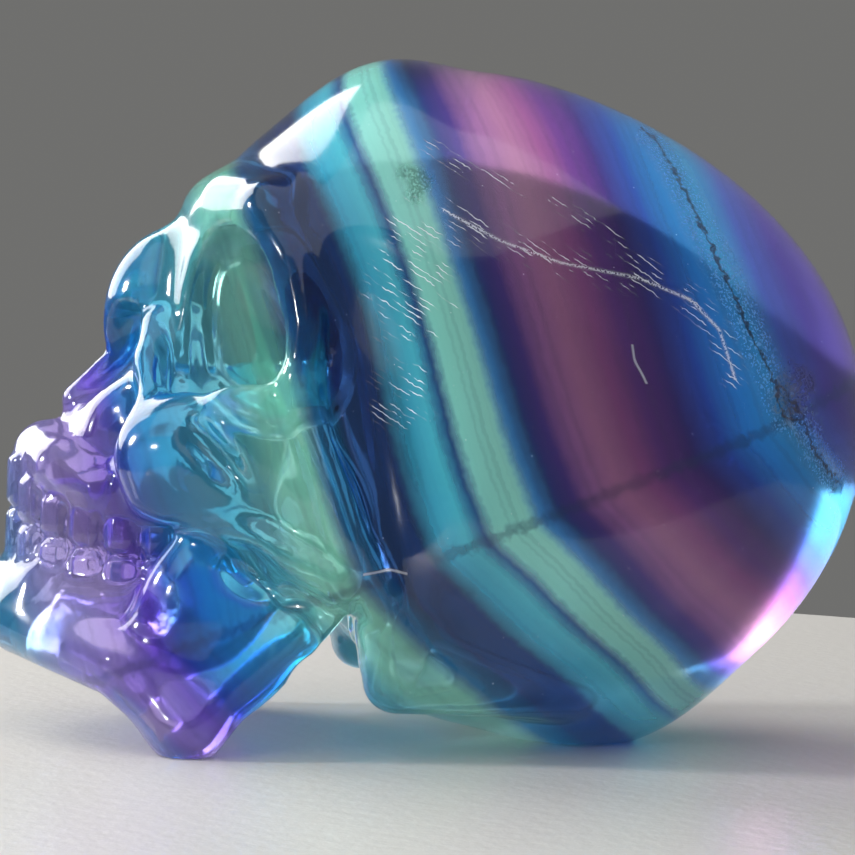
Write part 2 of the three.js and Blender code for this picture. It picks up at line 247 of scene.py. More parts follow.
upper_gum = rod(
    (6, -16.4, 14.2, 1.7),
    (5.3, -19.6, 14.6, 1.7),
    (3.4, -21.8, 15.7, 1.9),
    (0, -22.7, 16.3, 2.1),
)
lower_gum = rod(
    (6.2, -16.4, 8, 1.7),
    (5.4, -19.8, 8.2, 1.7),
    (3.6, -22.4, 8.9, 1.8),
    (0, -23.6, 9.6, 1.8),
)
mouth = [
    add(upper_gum, 1.2),
    add(egg((0, -16.2, 12.6), (6.35, 8.3, 5.2), 12), 1.2),  # stone behind the teeth
    add(lower_gum, 1.2),
]

jaw_angle = (10.3, -14.4, 1.6, 1.75)
jaw_edge = rod(
    jaw_angle,
    (8.3, -18.2, 4.9, 2),
    (5.8, -21.8, 6, 1.9),
    (3.2, -23.9, 6.6, 1.9),
    (0, -24.4, 6.8, 1.9),
)
lower_jaw = [
    add(rod((11.2, -6.2, 9, 1.3), (10.8, -8.8, 6.5, 1.4), (10.6, -11, 4.5, 1.5), jaw_angle), 1),
    add(egg((9.4, -11.6, 8), (1.9, 4.6, 5), -20), 1.8),
    add(egg((9, -13.4, 7.4), (2.1, 4, 5.2)), 1.4),
    add(egg((10.6, -7.4, 12), (1.5, 2.8, 3.2)), 1.4),
    add(jaw_edge, 2),
    add(egg((0, -24, 7.2), (4, 2, 2.4)), 1.2),  # chin
]

ear_and_base = [
    add(rod((11.2, -3.3, 7.2, 1.9), (10.4, -2.5, 4.7, 2.1), (9.4, 1.8, 4.4, 2), (8, 7, 4.4, 1.9)), 1.6),
]

eye_socket = merge(
    egg((7.5, -10, 22.6), (4.1, 5, 4.8), 0, -20),
    egg((6.9, -11.4, 26.4), (2.9, 3.6, 3.8), 0, -20),
    2.2,
)
cheek_groove = rod(
    (11.6, -14.3, 18.2, 0.8),
    (12.3, -12.9, 16.6, 0.9),
    (12.9, -11.8, 15.2, 0.6),
    (13.9, -9.9, 14.2, 0.4),
)
throat = across(rod((0, -5.5, 8, 0.3), (0, -6.1, 6, 1), (0, -6.7, 4, 2), (0, -7, 1, 3.8)))
hollows = [
    carve(egg((13, -11.4, 10.5), (3, 2.3, 1.5), -38), 0.4),  # gap under the arch
    carve(cheek_groove, 0.8),
    carve(eye_socket, 1.1),
    carve(egg((1.9, -19.2, 22.5), (1.4, 2.1, 3.6), -40), 0.5),  # nose opening, each side of its wall
    carve(egg((6.3, -19.8, 19.2), (1.5, 2.4, 2.8)), 1.2),  # hollow beside the nose
    carve(egg((0, -14.5, 1.2), (6.8, 9, 6.6)), 1.2),  # between the jaw's two sides
    carve(throat, 0.6),  # open from side to side
    carve(egg((0, -6.4, 3.6), (8.8, 4.8, 5.6)), 1.2),  # hollow base between the ears
]

# Chips on the skull's left only, where a crack meets the back of the head.
chips = [
    carve(egg((13.3, 19.9, 21.1), (1, 1.1, 1.3)), 0.3),
    carve(rod((13.5, 19.3, 20.4, 0.5), (12.4, 21.2, 18.4, 0.6), (9.2, 23.7, 16.2, 0.4)), 0.3),
]


def teeth(row):
    """One tooth every tooth's width along the arch; the field mirrors them."""
    forms = []
    angle = 0.0
    travelled = 0.0
    for place in range(TEETH_PER_SIDE):
        while travelled < (place + 0.5) * TOOTH_WIDTH:
            speed = math.hypot(ARCH_HALF_WIDTH * math.cos(angle), ARCH_DEPTH * math.sin(angle))
            travelled += ARCH_STEP * speed
            angle += ARCH_STEP
        rear = math.sin(angle)
        at = (
            ARCH_HALF_WIDTH * rear,
            ARCH_BACK - ARCH_DEPTH * math.cos(angle),
            row["front_z"] + (row["back_z"] - row["front_z"]) * rear,
        )
        along = math.degrees(math.atan2(ARCH_DEPTH * rear, ARCH_HALF_WIDTH * math.cos(angle)))
        height = row["front_height"] + (row["back_height"] - row["front_height"]) * rear
        half = (TOOTH_WIDTH * TOOTH_FILL / 2, TOOTH_THICK / 2, height / 2)
        forms.append(add(block(at, half, TOOTH_ROUND, along), TOOTH_SOFT))
    return forms


def distance_to_stone(x, y, z):
    """Signed distance to the stone's surface in mm, negative inside."""
    mirrored = [*braincase, *brow_and_nose, *cheeks, *mouth, *lower_jaw, *ear_and_base, *hollows]
    mirrored += [*teeth(UPPER_ROW), *teeth(LOWER_ROW)]
    distance = np.full(np.broadcast(x, y, z).shape, FAR_OUTSIDE, dtype=np.float32)
    for side, forms in ((np.abs(x), mirrored), (x, chips)):
        for shape, soft, sign in forms:
            distance = (sign * round_min(sign * distance, shape(side, y, z), soft)).astype(np.float32)
    ground_flat = -z
    return np.maximum(distance, ground_flat)


def surface_nets(step):
    """Points and quads of the stone's surface: one point in each grid cell that the surface crosses."""
    axes = [np.arange(low, high + step, step, dtype=np.float32) for low, high in zip(FIELD_LOW, FIELD_HIGH)]
    value = distance_to_stone(*np.meshgrid(*axes, indexing="ij", sparse=True))
    size = value.shape
    corners = [(i, j, k) for i in (0, 1) for j in (0, 1) for k in (0, 1)]
    inside = sum(
        (value[i : size[0] - 1 + i, j : size[1] - 1 + j, k : size[2] - 1 + k] < 0).astype(np.int8)
        for i, j, k in corners
    )
    cells = np.argwhere((inside > 0) & (inside < len(corners)))
    number = np.full([n - 1 for n in size], -1, dtype=np.int64)
    number[tuple(cells.T)] = np.arange(len(cells))
    # A cell's point is the mean of the places where its twelve edges cross the surface.
    at_corner = {c: value[tuple((cells + c).T)].astype(float) for c in corners}
    total = np.zeros((len(cells), 3))
    crossings = np.zeros(len(cells))
    for a in corners:
        for b in corners:
            if a < b and sum(abs(p - q) for p, q in zip(a, b)) == 1:
                crossed = (at_corner[a] < 0) != (at_corner[b] < 0)
                share = at_corner[a][crossed] / (at_corner[a] - at_corner[b])[crossed]
                total[crossed] += np.array(a) + share[:, None] * (np.array(b) - np.array(a))
                crossings[crossed] += 1
    points = (cells + total / crossings[:, None]) * step + np.array([axis[0] for axis in axes])
    # Each grid edge that crosses the surface gets a quad of the four cells round it.
    quads = []
    for axis in range(3):
        first, second = (axis + 1) % 3, (axis + 2) % 3
        here = [slice(None)] * 3
        there = [slice(None)] * 3
        here[axis] = slice(0, -1)
        there[axis] = slice(1, None)
        starts_inside = value[tuple(here)] < 0
        edges = np.argwhere(starts_inside != (value[tuple(there)] < 0))
        outward = starts_inside[tuple(edges.T)]
        around = []
        for back_first, back_second in ((1, 1), (0, 1), (0, 0), (1, 0)):
            cell = edges.copy()
            cell[:, first] -= back_first
            cell[:, second] -= back_second
            around.append(number[tuple(cell.T)])
        quad = np.stack(around, axis=1)
        quad[~outward] = quad[~outward][:, ::-1]
        quads.append(quad)
    return points, np.concatenate(quads)


def settle(points):
    """Moves points onto the field's zero surface along its slope; the ground flats stay flat."""
    for _ in range(SETTLE_ROUNDS):
        columns = [points[:, k].astype(np.float32) for k in range(3)]
        slope = np.empty_like(points)
        for k in range(3):
            ahead = list(columns)
            behind = list(columns)
            ahead[k] = columns[k] + SLOPE_REACH
            behind[k] = columns[k] - SLOPE_REACH
            slope[:, k] = (distance_to_stone(*ahead) - distance_to_stone(*behind)) / (2 * SLOPE_REACH)
        steepness = np.maximum((slope**2).sum(axis=1), LEAST_STEEPNESS)
        move = np.clip(-distance_to_stone(*columns) / steepness, -FURTHEST_MOVE, FURTHEST_MOVE)
        points = points + slope * move[:, None]
    points[:, 2] = np.maximum(points[:, 2], 0)
    return points


class Nodes:
    """A material's node tree: its methods add nodes and return the socket that holds the result."""

    def __init__(self, tree):
        self.tree = tree

    def feed(self, socket, value):
        """Links a socket to another node's result, or sets its own value."""
        if isinstance(value, bpy.types.NodeSocket):
            self.tree.links.new(value, socket)
        else:
            socket.default_value = value

    def add(self, kind, inputs=(), **settings):
        """The node itself, with its settings, and its inputs as pairs of socket and value."""
        node = self.tree.nodes.new(kind)
        for name, value in settings.items():
            setattr(node, name, value)
        for key, value in dict(inputs).items():
            self.feed(node.inputs[key], value)
        return node

    def math(self, operation, *values):
        """One step of arithmetic."""
        return self.add("ShaderNodeMath", enumerate(values), operation=operation).outputs[0]

    def between(self, value, low, high, low_out=0.0, high_out=1.0):
        """Smooth step from low_out at low to high_out at high."""
        keys = {"Value": value, "From Min": low, "From Max": high, "To Min": low_out, "To Max": high_out}
        return self.add("ShaderNodeMapRange", keys, interpolation_type="SMOOTHSTEP").outputs["Result"]

    def read(self, group):
        """The three numbers that the mesh holds at each point under this name."""
        values = self.add("ShaderNodeAttribute", attribute_name=group).outputs["Vector"]
        return tuple(self.add("ShaderNodeSeparateXYZ", {0: values}).outputs)

    def noise(self, where, scale, detail):
        """Soft noise from 0 to 1."""
        keys = {"Vector": where, "Scale": scale, "Detail": detail}
        return self.add("ShaderNodeTexNoise", keys).outputs["Fac"]

    def mix(self, share, a, b):
        """Colour a with a share of colour b."""
        node = self.add("ShaderNodeMix", {0: share, 6: a, 7: b}, data_type="RGBA", clamp_result=True)
        return node.outputs[2]

    def ramp(self, value, stops):
        """Colour and alpha of a ramp through (position, colour) stops, positions from 0 to 1."""
        node = self.add("ShaderNodeValToRGB", {"Fac": value})
        elements = node.color_ramp.elements
        for element, (position, colour) in zip(elements, (stops[0], stops[-1])):
            element.position = position
            element.color = colour
        for position, colour in stops[1:-1]:
            elements.new(position).color = colour
        return node.outputs["Color"], node.outputs["Alpha"]


TINT_DEPTH = 1.25  # over 1 makes the zones deeper than their hex codes


def linear(hex_code):
    """Scene-linear colour of a growth zone's hex code."""
    colour = []
    for start in (0, 2, 4):
        channel = int(hex_code[start : start + 2], 16) / 255
        level = channel / 12.92 if channel <= 0.04045 else ((channel + 0.055) / 1.055) ** 2.4
        colour.append(level**TINT_DEPTH)
    return tuple(colour)


# Growth zones in the order they lie through the block, from the chin to the back of the head.
# Each is its place along the zones in mm, its colour and how clear it is.
ZONES = [
    (-30.0, "3c9ccc", 0.8),
    (-27.0, "b8acff", 0.86),
    (-24.5, "bca0fc", 0.86),
    (-22.0, "8058ec", 0.85),
    (-20.5, "3060e0", 0.85),
    (-18.0, "24acf0", 0.86),
    (-15.0, "48ccf0", 0.88),
    (-13.2, "64dce4", 0.82),
    (-12.0, "98f6e0", 0.7),
    (-9.8, "9cf6da", 0.7),
    (-8.8, "1a80c4", 0.85),
    (-7.2, "0e3a84", 0.95),
    (-4.8, "12388c", 0.94),
    (-3.8, "48c8ec", 0.64),
    (-2.2, "60dcf0", 0.6),
    (-1.4, "2470c0", 0.8),
    (-0.7, "a6fbee", 0.56),
    (1.2, "b0ffee", 0.56),
    (2.0, "44a8f8", 0.72),
    (3.1, "2438a4", 0.94),
    (4.2, "5034ac", 0.95),
    (5.4, "c070c8", 0.92),
    (7.0, "e084c4", 0.92),
    (8.6, "bc58b0", 0.93),
    (10.0, "7034a4", 0.96),
    (11.8, "34248c", 0.96),
    (13.6, "2450d4", 0.8),
    (15.4, "2c9cff", 0.56),
    (17.6, "38b4ff", 0.56),
    (19.4, "4460dc", 0.75),
    (21.4, "4434ac", 0.88),
    (25.0, "402c7c", 0.9),
]
ZONE_RANGE = (-31.0, 26.0)
UPPER_SLOPE = 0.345  # how far the zones lean back for each mm down, above the bend
LOWER_SLOPE = 1.1  # and below it
SIDE_SLOPE = 0.08  # how far they shift forward for each mm to the skull's left
SIDE_FROM = 15.0  # X at which the places above are read
BEND_AT = (-1.3, 11.7)  # Y and Z of a point on the bend
BEND_RISE = 0.4167  # how far the bend climbs for each mm back
ZONE_AT_BEND = -4.67
BEND_SOFTNESS = 0.5
WAVER = (  # slow waves of the zones: size in mm, turns in X, Y and Z per mm, start
    (0.16, 0.31, 0.22, -0.17, 0.4),
    (0.12, -0.23, 0.41, 0.29, 2.1),
    (0.10, 0.52, -0.19, 0.47, 4.4),
)


def waves(table, x, y, z):
    """The sum of a table of waves at each point."""
    return sum(size * np.sin(a * x + b * y + c * z + start) for size, a, b, c, start in table)


def zone_place(x, y, z):
    """Place along the growth zones in mm, and the distance past their bend, for arrays of points."""
    run = 1 + UPPER_SLOPE * BEND_RISE
    lower_run = run / (1 + BEND_RISE * LOWER_SLOPE)
    ahead = y - BEND_AT[0]
    over = z - BEND_AT[1]
    upper = ahead + over * UPPER_SLOPE
    lower = (ahead + over * LOWER_SLOPE) * lower_run
    near_bend = np.clip((BEND_SOFTNESS - np.abs(upper - lower)) / BEND_SOFTNESS, 0, 1)
    layered = np.minimum(upper, lower) - near_bend**3 * BEND_SOFTNESS / 6
    place = layered + ZONE_AT_BEND + SIDE_SLOPE * (x - SIDE_FROM) + waves(WAVER, x, y, z)
    return place, lower - upper


# Marks on the skull's left side, as (Y, Z) points in mm.
# The streak: a row of fine scratches along the top of the flat side, painted pale along its length as a
# painted highlight.
SCRATCH_AND_HIGHLIGHT_STREAK = [
    (-1.4, 31.3),
    (1.9, 29.6),
    (5.3, 28.5),
    (9.8, 27.8),
    (12.8, 26.7),
    (14.5, 25.1),
    (15.6, 22.0),
]
TICK_ROW = [(-2.0, 35.0), (0.0, 33.6), (4.0, 32.4), (8.1, 30.3), (11.1, 28.0)]
THREAD = [(9.4, 24.4), (9.6, 23.2), (10.1, 22.4), (10.4, 21.8)]
SHORT_SCRATCH = [(-5.2, 10.8), (-3.6, 11.1), (-2.3, 10.8)]
HEALED_CRACK = [
    (11.4, 37.0),
    (12.1, 36.1),
    (13.8, 31.0),
    (16.1, 25.7),
    (17.7, 22.6),
    (19.5, 21.0),
    (20.9, 18.4),
    (23.3, 16.3),
]
STEM_CRACK = [(17.7, 22.6), (18.6, 20.4), (20.6, 19.6)]

# Patches on the same side: centre (Y, Z) and half size (Y, Z) in mm.
TOOL_MARKS = (
    ((-2.9, 27.6), (2.1, 3.4)),
    ((-3.2, 20.8), (1.4, 1.9)),
)
DARK_CRUST = ((-2.6, 32.8), (0.9, 1.1))
PIT = ((19.3, 21.6), (1.5, 1.9))
RAGGED = (  # waves that make the patches' edges ragged: size, turns in X, Y and Z per mm, start
    (0.18, 1.9, 2.7, -1.6, 0.7),
    (0.16, -2.3, 1.7, 3.1, 3.9),
    (0.12, 1.2, -4.3, 3.6, 5.2),
)

# Where each mark has faded out and where it is full, in mm from its line.
TICKS_FADE = (0.5, 0.2)
BESIDE_STREAK_FADE = (1.0, 0.4)
STREAK_FADE = (0.34, 0.12)
TOOL_MARK_FADE = (0.055, 0.01)
FAINT_FADE = (0.11, 0.04)
CRACK_FADE = (0.16, 0.04)
DRUSE_FADE = (1.6, 0.2)
BEND_FADE = (0.3, 0.04)
PATCH_FADE = (1.15, 0.75)  # in shares of a patch's half size
SIDE_FADE = (2.0, 5.0)  # X, since no mark reaches the other side

LINE_REACH = 2.0  # how far from a line its distances hold
BEYOND_REACH = 10.0  # how fast they grow past that, so that no mark shows there
FAR_OFF = 30.0


def offset_from(path, y, z):
    """Signed distance in mm from a path over the stone's side, far off past its ends.

    Seen from the skull's left, it is over zero on the right of the path's own direction.
    """
    best = np.full(y.shape, FAR_OUTSIDE)
    signed = np.full(y.shape, FAR_OUTSIDE)
    for number, (start, end) in enumerate(zip(path, path[1:])):
        line = (end[0] - start[0], end[1] - start[1])
        squared = line[0] ** 2 + line[1] ** 2
        share = ((y - start[0]) * line[0] + (z - start[1]) * line[1]) / squared
        held = np.clip(share, 0, 1)
        gap = np.hypot(y - start[0] - held * line[0], z - start[1] - held * line[1])
        past = ((number == 0) & (share < 0)) | ((number == len(path) - 2) & (share > 1))
        side = np.where((y - start[0]) * line[1] - (z - start[1]) * line[0] > 0, 1.0, -1.0)
        nearer = gap < best
        signed = np.where(nearer, np.where(past, side * FAR_OFF, side * gap), signed)
        best = np.minimum(best, gap)
    beyond = np.maximum(np.abs(signed) - LINE_REACH, 0)
    return np.clip(signed * (1 + beyond * BEYOND_REACH), -FAR_OFF, FAR_OFF)


def patch_size(centre, half, y, z):
    """0 in the middle of an oval patch of the stone's side, 1 on its edge."""
    return np.hypot((y - centre[0]) / half[0], (z - centre[1]) / half[1])


def smooth_step(value, low, high):
    """0 below low and 1 above high, or the other way round when low is the greater."""
    share = np.clip((value - low) / (high - low), 0, 1)
    return share * share * (3 - 2 * share)


def side_fields(points):
    """What the material reads at each point, as named groups of three numbers."""
    x, y, z = points[:, 0], points[:, 1] + CENTRE_Y, points[:, 2]
    zone, past_bend = zone_place(x, y, z)
    near_side = smooth_step(x, *SIDE_FADE)
    ragged = waves(RAGGED, x, y, z)

    def line_offset(*paths):
        """Signed distance to the nearest of these paths, on the skull's left side alone."""
        offsets = np.stack([offset_from(path, y, z) for path in paths])
        nearest = np.take_along_axis(offsets, np.abs(offsets).argmin(axis=0)[None], axis=0)[0]
        return nearest + np.sign(nearest) * (1 - near_side) * FAR_OFF

    def beside(path, fade):
        """1 close to a path, fading to 0."""
        return smooth_step(np.abs(offset_from(path, y, z)), *fade) * near_side

    def patch_mask(*patches):
        """1 inside these patches, fading to 0 over their ragged edges."""
        sizes = [patch_size(centre, half, y, z) for centre, half in patches]
        return smooth_step(np.minimum.reduce(sizes) + ragged, *PATCH_FADE) * near_side

    worked = [
        patch_mask(*TOOL_MARKS),
        beside(TICK_ROW, TICKS_FADE),
        beside(SCRATCH_AND_HIGHLIGHT_STREAK, BESIDE_STREAK_FADE),
    ]
    unused = np.zeros_like(x)
    return {
        "zones": (zone, past_bend, np.maximum.reduce(worked)),
        "lines": (
            line_offset(SCRATCH_AND_HIGHLIGHT_STREAK),
            line_offset(THREAD, SHORT_SCRATCH),
            line_offset(HEALED_CRACK, STEM_CRACK),
        ),
        "patches": (patch_mask(DARK_CRUST), patch_mask(PIT), unused),
    }


# Noise through the stone, in turns per mm.
FINE_SCALE = 2.2
GRAIN_SCALE = 7.0
VEIL_SCALE = 2.6
SOME_DETAIL = 1.0
NO_DETAIL = 0.0
NOISE_MIDDLE = 0.5

# How far an edge moves in mm as the noise goes from 0 to 1: the grain for the streak, else the fine noise.
ZONE_WAVER = 0.3
BEND_WAVER = 0.5
CRACK_WAVER = 0.9
TOOL_MARK_WAVER = 0.3
STREAK_WAVER = 0.3

# Tool marks: parallel hair lines, lower towards the back, that break off here and there; they are painted
# pale, partly as a painted highlight where they catch the light.
TOOL_MARK_SLANT = math.radians(33)
TOOL_MARK_GAP = 0.38  # mm from a line down to the next
DASH_ALONG = 0.55  # how fast the noise that breaks the lines changes along them
DASH_ACROSS = 3.0  # and across them
DASH_LIMITS = (0.45, 0.6)

# Levels of the grain between which each thing sets in.
STREAK_GRAIN = (0.36, 0.5)
ROUGH_GRAIN = (0.5, 0.6)
PIT_GRAIN = (0.35, 0.6)
SPECK_AND_GLINT_GRAIN = (0.79, 0.84)
SPECK_AND_GLINT_STRENGTH = 0.7
FAINT_STRENGTH = 0.55


def side_marks(nodes, y, z, hatched, fine, grain):
    """Scratches, tool marks, the healed crack and its crust: each a mask from 0 to 1. The pale mask holds
    the thread and a scratch, and painted highlight along the streak and the tool marks.
    """
    streak, faint_line, crack = nodes.read("lines")
    crusted, pitted = nodes.read("patches")[:2]
    # Painted highlight: the streak's grainy pale core, laid over its rough scratches.
    streak_gap = nodes.math("MULTIPLY_ADD", grain, STREAK_WAVER, nodes.math("ABSOLUTE", streak))
    streak_core = nodes.between(streak_gap, *STREAK_FADE)
    grainy_streak = nodes.math("MULTIPLY", streak_core, nodes.between(grain, *STREAK_GRAIN))
    across_lines = nodes.math("MULTIPLY_ADD", y, math.tan(TOOL_MARK_SLANT), z)
    along_lines = nodes.math("MULTIPLY_ADD", z, -math.tan(TOOL_MARK_SLANT), y)
    keys = {
        0: nodes.math("MULTIPLY", along_lines, DASH_ALONG),
        1: nodes.math("MULTIPLY", across_lines, DASH_ACROSS),
    }
    stretched = nodes.add("ShaderNodeCombineXYZ", keys).outputs[0]
    dashes = nodes.between(nodes.noise(stretched, 1.0, NO_DETAIL), *DASH_LIMITS)
    wavering = nodes.math("MULTIPLY_ADD", fine, TOOL_MARK_WAVER, across_lines)
    hair = nodes.between(nodes.math("PINGPONG", wavering, TOOL_MARK_GAP / 2), *TOOL_MARK_FADE)
    # Painted highlight, partly: the tool marks' hair lines are laid in pale, as their glints.
    hatching = nodes.math("MULTIPLY", nodes.math("MULTIPLY", hair, dashes), hatched)
    faint = nodes.between(nodes.math("ABSOLUTE", faint_line), *FAINT_FADE, 0.0, FAINT_STRENGTH)
    crack_gap = nodes.math("ABSOLUTE", nodes.math("MULTIPLY_ADD", fine, CRACK_WAVER, crack))
    rough = nodes.between(grain, *ROUGH_GRAIN)
    return {
        "pale": nodes.math("MAXIMUM", nodes.math("MAXIMUM", grainy_streak, hatching), faint),
        "druse": nodes.math("MULTIPLY", nodes.between(crack_gap, *DRUSE_FADE), rough),
        "crack": nodes.between(crack_gap, *CRACK_FADE),
        "crust": nodes.math("SUBTRACT", crusted, nodes.math("MULTIPLY", crusted, rough)),
        "pit": nodes.math("MULTIPLY", pitted, nodes.between(grain, *PIT_GRAIN)),
    }


VEIL_LIMITS = (0.45, 0.75)
VEIL_STRENGTH = 0.16
VEIL_TONE = (0.01, 0.02, 0.10, 1.0)
BEND_STRENGTH = 0.5
BEND_TONE = (0.005, 0.02, 0.12, 1.0)
MARK_TONES = (  # mark, strength and tone, in the order they are laid over the zones
    ("druse", 0.55, (0.25, 0.5, 0.85, 1.0)),
    ("crack", 0.9, (0.01, 0.015, 0.06, 1.0)),
    ("crust", 0.75, (0.03, 0.09, 0.08, 1.0)),
    ("pit", 0.7, (0.10, 0.09, 0.11, 1.0)),
)
# Pale tone of the scratches and the thread, and of the painted highlights along the streak, the tool marks
# and the specks.
PALE_TONE = (0.82, 0.86, 0.95, 1.0)
WHITE = (1, 1, 1, 1)
DULL_MARKS = ("crust", "pit", "druse")
DULL_CLEARNESS = 0.25  # share of a zone's clearness that is left where a mark is dull
POLISHED_ROUGHNESS = 0.12
DULL_ROUGHNESS = 0.45
LEAVING_WHITE = 0.85  # share of white in the tint where light leaves the stone
GLOSS = {"Specular IOR Level": 0.18, "Coat Weight": 0.28, "Coat Roughness": 0.03}


def zone_colours(nodes, zone, past_bend, fine):
    """Colour and clearness of the growth zones, with thin veils along them and a dark line at their bend."""
    wavering = nodes.math("MULTIPLY_ADD", fine, ZONE_WAVER, zone)
    spread = ZONE_RANGE[1] - ZONE_RANGE[0]
    share = nodes.math("DIVIDE", nodes.math("SUBTRACT", wavering, ZONE_RANGE[0]), spread)
    stops = [((at - ZONE_RANGE[0]) / spread, (*linear(code), clear)) for at, code, clear in ZONES]
    colour, clearness = nodes.ramp(share, stops)
    veil_keys = {"W": wavering, "Scale": VEIL_SCALE, "Detail": NO_DETAIL}
    veil = nodes.add("ShaderNodeTexNoise", veil_keys, noise_dimensions="1D").outputs["Fac"]
    colour = nodes.mix(nodes.between(veil, *VEIL_LIMITS, 0.0, VEIL_STRENGTH), colour, VEIL_TONE)
    bend = nodes.math("ABSOLUTE", nodes.math("MULTIPLY_ADD", fine, BEND_WAVER, past_bend))
    return nodes.mix(nodes.between(bend, *BEND_FADE, 0.0, BEND_STRENGTH), colour, BEND_TONE), clearness


def fluorite_material(settings):
    """Polished fluorite: growth zones of colour through a clear stone, with the worked side's marks, painted
    pale in places as painted highlights.
    """
    material = bpy.data.materials.new("banded_fluorite")
    material.use_nodes = True
    tree = material.node_tree
    tree.nodes.clear()
    nodes = Nodes(tree)
    place = nodes.add("ShaderNodeTexCoord").outputs["Object"]
    enlarged = nodes.add("ShaderNodeVectorMath", {0: place, "Scale": 1 / MM}, operation="SCALE")
    in_mm = enlarged.outputs["Vector"]
    y, z = nodes.add("ShaderNodeSeparateXYZ", {0: in_mm}).outputs[1:]
    zone, past_bend, hatched = nodes.read("zones")
    fine = nodes.math("SUBTRACT", nodes.noise(in_mm, FINE_SCALE, SOME_DETAIL), NOISE_MIDDLE)
    grain = nodes.noise(in_mm, GRAIN_SCALE, SOME_DETAIL)
    colour, clearness = zone_colours(nodes, zone, past_bend, fine)

    marks = side_marks(nodes, y, z, hatched, fine, grain)
    # Pale specks in the grain: partly specks in the stone, partly painted glints.
    specks_and_glints = nodes.between(grain, *SPECK_AND_GLINT_GRAIN, 0.0, SPECK_AND_GLINT_STRENGTH)
    pale = nodes.math("MAXIMUM", marks["pale"], specks_and_glints)
    for name, strength, tone in MARK_TONES:
        colour = nodes.mix(nodes.math("MULTIPLY", marks[name], strength), colour, tone)
    # Painted highlight, partly: the pale tone lays the glints of the streak, the tool marks and the specks
    # into the colour, with the thread and the scratch.
    colour = nodes.mix(pale, colour, PALE_TONE)
    dull = pale
    for name in DULL_MARKS:
        dull = nodes.math("MAXIMUM", dull, marks[name])

    leaving = nodes.add("ShaderNodeNewGeometry").outputs["Backfacing"]
    clear_share = nodes.between(dull, 0.0, 1.0, 1.0, DULL_CLEARNESS)
    finish = {
        "Base Color": nodes.mix(nodes.math("MULTIPLY", leaving, LEAVING_WHITE), colour, WHITE),
        "Roughness": nodes.between(dull, 0.0, 1.0, POLISHED_ROUGHNESS, DULL_ROUGHNESS),
        "Transmission Weight": nodes.math("MULTIPLY", clearness, clear_share),
        "IOR": settings.refraction,
        **GLOSS,
    }
    shader = nodes.add("ShaderNodeBsdfPrincipled", finish)
    depth = {"Color": settings.depth_colour, "Density": settings.depth_density}
    absorb = nodes.add("ShaderNodeVolumeAbsorption", depth)
    nodes.add("ShaderNodeOutputMaterial", {"Surface": shader.outputs[0], "Volume": absorb.outputs[0]})
    return material


class StoneSettings(bpy.types.PropertyGroup):
    """The stone's own sizes and colours."""

    mesh_step: bpy.props.FloatProperty(
        name="Mesh step",
        description="Grid step of the fine mesh",
        default=0.36 * MM,
        unit="LENGTH",
        precision=5,
    )
    refraction: bpy.props.FloatProperty(
        name="Refraction",
        description="Refractive index of fluorite",
        default=1.434,
    )
    depth_colour: bpy.props.FloatVectorProperty(
        name="Depth colour",
        description="Colour left after a long way through",
        default=(0.35, 0.42, 0.75, 1.0),
        size=4,
        subtype="COLOR",
    )
    depth_density: bpy.props.FloatProperty(
        name="Depth density",
        description="How soon the stone darkens with depth, per metre",
        default=7.0,
    )


PICTURE_WIDTH = 855  # pixels
PIXELS_PER_MM = 16.5  # at the stone


class StudioSettings(bpy.types.PropertyGroup):
    """Camera, floor and room."""

    camera_azimuth: bpy.props.FloatProperty(
        name="Azimuth",
        description="Camera's direction round the stone",
        default=math.radians(83),
        subtype="ANGLE",
    )
    camera_elevation: bpy.props.FloatProperty(
        name="Elevation",
        description="Camera's height over the horizon",
        default=math.radians(2),
        subtype="ANGLE",
    )
    camera_roll: bpy.props.FloatProperty(
        name="Roll",
        description="Turn about the line of sight",
        default=math.radians(2),
        subtype="ANGLE",
    )
    camera_distance: bpy.props.FloatProperty(
        name="Distance",
        description="Camera to the stone's middle",
        default=170 * MM,
        unit="LENGTH",
    )
    view_width: bpy.props.FloatProperty(
        name="View width",
        description="Width of the picture at the stone",
        default=PICTURE_WIDTH / PIXELS_PER_MM * MM,
        unit="LENGTH",
    )
    aim_height: bpy.props.FloatProperty(
        name="Aim height",
        description="Height the camera looks at",
        default=18.6 * MM,
        unit="LENGTH",
    )
    floor_width: bpy.props.FloatProperty(
        name="Floor width",
        description="Width of the round floor",
        default=180 * MM,
        unit="LENGTH",
    )
    floor_colour: bpy.props.FloatVectorProperty(
        name="Floor colour",
        description="Pale floor",
        default=(0.7, 0.68, 0.65, 1.0),
        size=4,
        subtype="COLOR",
    )
    room_grey: bpy.props.FloatProperty(
        name="Room grey",
        description="Brightness of the grey room",
        default=0.16,
    )


SENSOR_WIDTH = 36.0  # mm
LIGHT_AIM = 20 * MM  # height over the floor that the lights face
LIGHTS = [  # soft lights: name, azimuth and elevation in degrees, distance and side in mm, watts, colour
    ("window", 319, 28, 400, 300, 1.9, (1.0, 0.99, 0.97)),
    ("face_light", 2, 20, 380, 50, 1.0, (1.0, 1.0, 1.0)),
    ("side_spark", 40, 12, 380, 26, 0.2, (1.0, 1.0, 1.0)),
    ("front_soft", 60, 62, 800, 1100, 3.5, (1.0, 1.0, 1.0)),
]
ROOM_WARMTH = 0.97  # the room's blue beside its red and green
FLOOR_CORNERS = 128
FLOOR_ROUGHNESS = 0.3
FLOOR_GRAIN = 900.0  # turns of the grain per metre
FLOOR_GRAIN_DETAIL = 4.0
FLOOR_RELIEF = {"Strength": 0.25, "Distance": 0.2 * MM}


